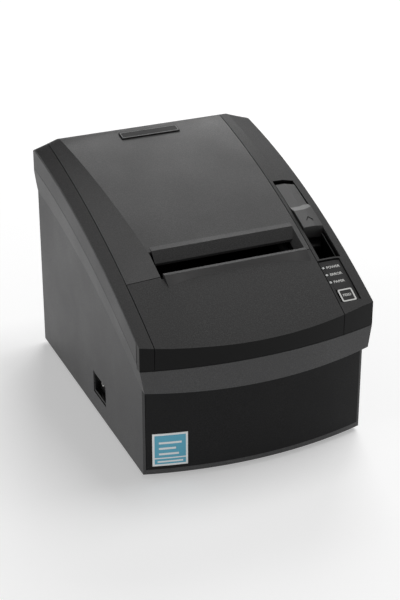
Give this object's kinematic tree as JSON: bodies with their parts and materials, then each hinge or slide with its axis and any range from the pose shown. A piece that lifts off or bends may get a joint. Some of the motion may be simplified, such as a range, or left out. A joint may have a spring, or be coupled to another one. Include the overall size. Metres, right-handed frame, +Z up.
{
  "type": "receipt printer",
  "caption": "Black desktop thermal receipt printer for 80 mm paper, with a hinged top cover, paper slot with cutter, release lever, feed button and status lights.",
  "frame": {"origin": "bottom centre of the printer, in the plane the rubber feet stand on", "axes": "+Z up, +X to the right seen from the front, -Y out of the front panel"},
  "size_m": [0.145, 0.195, 0.1462],
  "materials": {
    "case_plastic": "fine texture",
    "cover_plastic": "fine texture",
    "black_plastic": "smooth",
    "steel": "satin",
    "rubber": "matte",
    "aluminium": "satin",
    "circuit_board": "satin"
  },
  "bodies": {
    "chassis": {"lower_case": "case_plastic", "front_panel": "black_plastic", "bottom_cover": "black_plastic", "foot_front_left": "rubber", "foot_front_right": "rubber", "foot_rear_left": "rubber", "foot_rear_right": "rubber", "middle_frame": "case_plastic", "upper_housing": "cover_plastic", "control_panel": "cover_plastic", "led_power": "black_plastic", "led_error": "black_plastic", "led_paper": "black_plastic", "button_board": "circuit_board", "info_label": "case_plastic", "finger_tray": "black_plastic", "lever_pin": "steel", "roll_bucket": "black_plastic", "main_board": "circuit_board", "interface_plate": "steel", "interface_board": "circuit_board", "dc_inlet": "black_plastic", "drawer_port": "black_plastic", "usb_port": "steel", "serial_port": "steel", "switch_bezel": "black_plastic", "mech_frame": "steel", "thermal_head": "circuit_board", "heat_sink": "aluminium", "head_spring_left": "steel", "head_spring_right": "steel", "idler_pin": "steel", "stepper_motor": "steel", "cutter_frame": "steel", "cutter_motor": "steel", "hinge_pin_left": "steel", "hinge_pin_right": "steel", "paper_sensor": "black_plastic"},
    "paper_cover": {"paper_cover": "cover_plastic", "name_plate": "black_plastic", "platen_bracket_left": "steel", "platen_bracket_right": "steel", "fixed_blade": "steel"},
    "platen": {"platen_shaft": "steel", "platen_roller": "rubber", "platen_gear": "black_plastic"},
    "idler": {"idler_gear": "black_plastic"},
    "pinion": {"motor_pinion": "black_plastic"},
    "front_cover": {"front_cover": "cover_plastic"},
    "release_lever": {"release_lever": "cover_plastic"},
    "feed_button": {"feed_button": "black_plastic"},
    "power_rocker": {"power_rocker": "black_plastic"},
    "cutter_blade": {"cutter_blade": "steel"}
  },
  "joints": [
    {"name": "cover_hinge", "type": "hinge", "parent": "chassis", "child": "paper_cover", "pos_m": [0, 0.0855, 0.134], "axis": [-1, 0, 0], "range_deg": [0, 80]},
    {"name": "platen_spin", "type": "hinge", "parent": "paper_cover", "child": "platen", "pos_m": [0, -0.033, 0.088], "axis": [-1, 0, 0], "continuous": true},
    {"name": "idler_spin", "type": "hinge", "parent": "chassis", "child": "idler", "pos_m": [-0.0493, -0.02573, 0.06926], "axis": [-1, 0, 0], "continuous": true},
    {"name": "pinion_spin", "type": "hinge", "parent": "chassis", "child": "pinion", "pos_m": [-0.0493, -0.03587, 0.05574], "axis": [-1, 0, 0], "continuous": true},
    {"name": "front_cover_slide", "type": "slide", "parent": "chassis", "child": "front_cover", "axis": [0, -1, 0], "range_m": [0, 0.02]},
    {"name": "lever_hinge", "type": "hinge", "parent": "chassis", "child": "release_lever", "pos_m": [0.0604, 0.0035, 0.121], "axis": [-1, 0, 0], "range_deg": [0, 25], "stiffness_Nm_per_rad": 0.02, "springref_deg": -20.05},
    {"name": "feed_button_press", "type": "slide", "parent": "chassis", "child": "feed_button", "axis": [0, 0.4431, -0.8965], "range_m": [0, 0.0012], "stiffness_N_per_m": 200, "springref_m": -0.0005},
    {"name": "power_rocker_tilt", "type": "hinge", "parent": "chassis", "child": "power_rocker", "pos_m": [-0.061, -0.01025, 0.02155], "axis": [0, 0, 1], "range_deg": [0, 14]},
    {"name": "cutter_blade_slide", "type": "slide", "parent": "chassis", "child": "cutter_blade", "axis": [0, 1, 0], "range_m": [0, 0.009]}
  ],
  "couplings": [
    {"joint": "idler_spin", "follows": "platen_spin", "ratio": -0.66667},
    {"joint": "pinion_spin", "follows": "platen_spin", "ratio": 1.6667}
  ]
}
